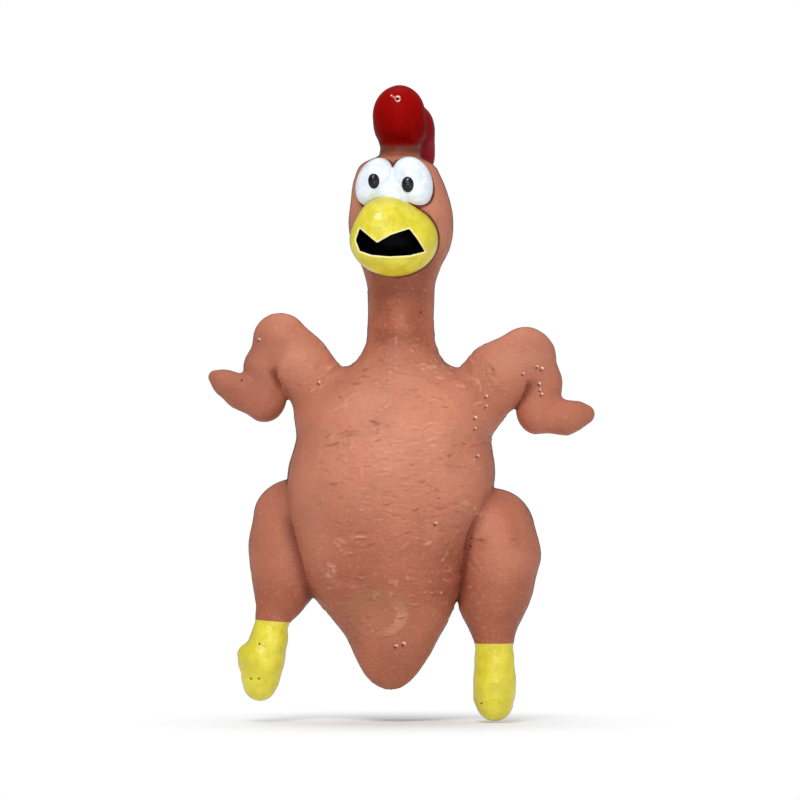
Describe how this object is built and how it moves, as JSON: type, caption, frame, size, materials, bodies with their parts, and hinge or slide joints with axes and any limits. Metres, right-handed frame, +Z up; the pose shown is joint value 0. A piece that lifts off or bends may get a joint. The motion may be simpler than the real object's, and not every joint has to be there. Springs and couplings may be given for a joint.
{
  "type": "rubber chicken",
  "caption": "Hollow rubber chicken squeeze toy with a squeaker, bending neck, wings, legs and tail.",
  "frame": {"origin": "under the middle of the toy, at the level of its lowest foot", "axes": "+Z up to the comb, -Y out of the belly, +X to the right as seen from the front"},
  "size_m": [0.0962, 0.042, 0.1589],
  "materials": {
    "skin": "satin",
    "comb": "gloss",
    "eye_white": "gloss",
    "pupil": "gloss",
    "beak": "satin",
    "mouth": "satin",
    "foot": "satin",
    "plug": "satin",
    "squeaker": "gloss"
  },
  "bodies": {
    "torso": {"torso_skin": "skin", "belly_plug": "plug", "squeaker_cup": "squeaker", "squeaker_cap": "squeaker", "squeaker_reed_clip": "squeaker"},
    "belly": {"belly_panel": "skin"},
    "neck_lower": {"neck_lower": "skin"},
    "neck_upper": {"neck_upper": "skin"},
    "head": {"head_skin": "skin", "eye_left": "eye_white", "eye_right": "eye_white", "pupil_left": "pupil", "pupil_right": "pupil", "beak_upper": "beak", "beak_lower": "beak", "mouth_lining": "mouth"},
    "comb": {"comb_front_lobe": "comb", "comb_rear_lobe": "comb"},
    "wing_left": {"wing_left": "skin"},
    "wing_right": {"wing_right": "skin"},
    "hand_left": {"hand_left": "skin"},
    "hand_right": {"hand_right": "skin"},
    "thigh_left": {"thigh_left": "skin"},
    "thigh_right": {"thigh_right": "skin"},
    "foot_left": {"foot_left": "foot"},
    "foot_right": {"foot_right": "foot"},
    "tail": {"tail_skin": "skin"},
    "reed": {"squeaker_reed": "squeaker"}
  },
  "joints": [
    {"name": "neck_side_bend", "type": "hinge", "parent": "torso", "child": "neck_lower", "pos_m": [0, 0, 0.092], "axis": [0, 1, 0], "range_deg": [-25, 25], "stiffness_Nm_per_rad": 0.03},
    {"name": "neck_nod", "type": "hinge", "parent": "neck_lower", "child": "neck_upper", "pos_m": [0, 0, 0.102], "axis": [1, 0, 0], "range_deg": [-25, 25], "stiffness_Nm_per_rad": 0.03},
    {"name": "head_turn", "type": "hinge", "parent": "neck_upper", "child": "head", "pos_m": [0, 0, 0.112], "axis": [0, 0, 1], "range_deg": [-30, 30], "stiffness_Nm_per_rad": 0.02},
    {"name": "comb_flop", "type": "hinge", "parent": "head", "child": "comb", "pos_m": [-0.0006, 0.0015, 0.142], "axis": [0, 1, 0], "range_deg": [-15, 15], "stiffness_Nm_per_rad": 0.004},
    {"name": "wing_left_lift", "type": "hinge", "parent": "torso", "child": "wing_left", "pos_m": [-0.0195, 0, 0.0845], "axis": [0, 1, 0], "range_deg": [-8, 25], "stiffness_Nm_per_rad": 0.02},
    {"name": "wing_right_lift", "type": "hinge", "parent": "torso", "child": "wing_right", "pos_m": [0.019, 0, 0.083], "axis": [0, -1, 0], "range_deg": [-8, 25], "stiffness_Nm_per_rad": 0.02},
    {"name": "hand_left_flick", "type": "hinge", "parent": "wing_left", "child": "hand_left", "pos_m": [-0.0342, 0, 0.08], "axis": [0, 1, 0], "range_deg": [-12, 12], "stiffness_Nm_per_rad": 0.006},
    {"name": "hand_right_flick", "type": "hinge", "parent": "wing_right", "child": "hand_right", "pos_m": [0.0343, 0, 0.0768], "axis": [0, -1, 0], "range_deg": [-12, 12], "stiffness_Nm_per_rad": 0.006},
    {"name": "hip_left_swing", "type": "hinge", "parent": "torso", "child": "thigh_left", "pos_m": [-0.0313, 0, 0.049], "axis": [1, 0, 0], "range_deg": [-25, 25], "stiffness_Nm_per_rad": 0.03},
    {"name": "hip_right_swing", "type": "hinge", "parent": "torso", "child": "thigh_right", "pos_m": [0.0265, 0, 0.047], "axis": [1, 0, 0], "range_deg": [-25, 25], "stiffness_Nm_per_rad": 0.03},
    {"name": "ankle_left_flex", "type": "hinge", "parent": "thigh_left", "child": "foot_left", "pos_m": [-0.0318, 0, 0.0252], "axis": [1, 0, 0], "range_deg": [-20, 20], "stiffness_Nm_per_rad": 0.008},
    {"name": "ankle_right_flex", "type": "hinge", "parent": "thigh_right", "child": "foot_right", "pos_m": [0.0233, 0, 0.0196], "axis": [1, 0, 0], "range_deg": [-20, 20], "stiffness_Nm_per_rad": 0.008},
    {"name": "tail_flick", "type": "hinge", "parent": "torso", "child": "tail", "pos_m": [-0.0023, 0, 0.0156], "axis": [1, 0, 0], "range_deg": [-20, 20], "stiffness_Nm_per_rad": 0.01},
    {"name": "belly_squeeze", "type": "slide", "parent": "torso", "child": "belly", "axis": [0, 1, 0], "range_m": [0, 0.005], "stiffness_N_per_m": 400},
    {"name": "reed_flutter", "type": "hinge", "parent": "torso", "child": "reed", "pos_m": [-0.0056, -0.00607, 0.0294], "axis": [1, 0, 0], "range_deg": [-3, 3], "stiffness_Nm_per_rad": 0.0005}
  ]
}
